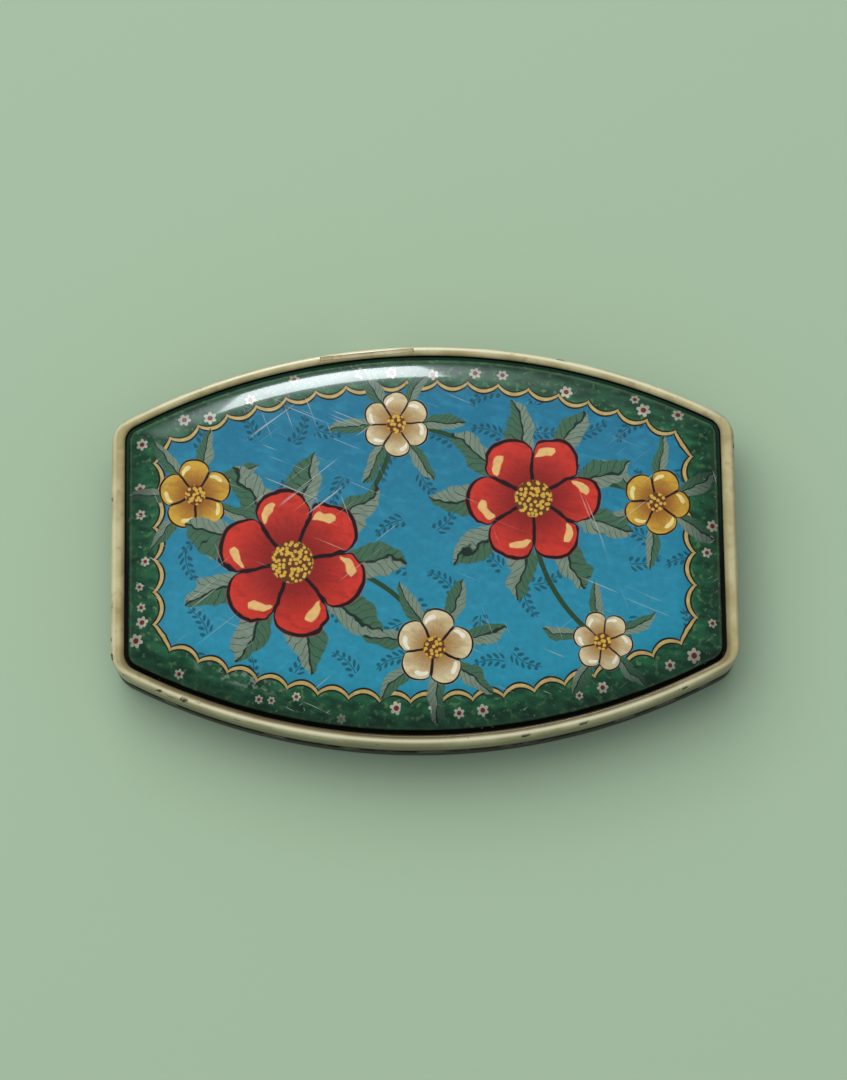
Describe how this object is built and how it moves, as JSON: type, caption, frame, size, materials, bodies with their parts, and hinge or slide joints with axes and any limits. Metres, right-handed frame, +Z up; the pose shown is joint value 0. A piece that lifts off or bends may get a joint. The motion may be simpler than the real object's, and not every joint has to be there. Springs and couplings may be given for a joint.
{
  "type": "candy tin",
  "caption": "Hinged candy tin of pressed tinplate: a domed lid with a rounded rim and groove over a shallow stepped tray, on a barrel-shaped plan.",
  "frame": {"origin": "centre of the tray's flat bottom, under the middle of the plan outline", "axes": "+X to the right along the tin's length, +Y to the hinged rear, +Z up"},
  "size_m": [0.143, 0.0941, 0.0233],
  "materials": {
    "printed_tinplate": "coloured print under glossy varnish, lightly scratched",
    "brown_tinplate": "dark brown semi-gloss lacquer",
    "gold_tinplate": "worn gold lacquer",
    "wire_steel": "drawn wire, dull"
  },
  "bodies": {
    "base": {"base_tray": "brown_tinplate", "base_hinge_strap": "gold_tinplate", "hinge_wire": "wire_steel"},
    "lid": {"lid": "printed_tinplate", "lid_hinge_strap": "gold_tinplate"}
  },
  "joints": [
    {"name": "lid_hinge", "type": "hinge", "parent": "base", "child": "lid", "pos_m": [-0.01278, 0.04578, 0.00715], "axis": [-0.9963, -0.0865, 0], "range_deg": [0, 125]}
  ]
}
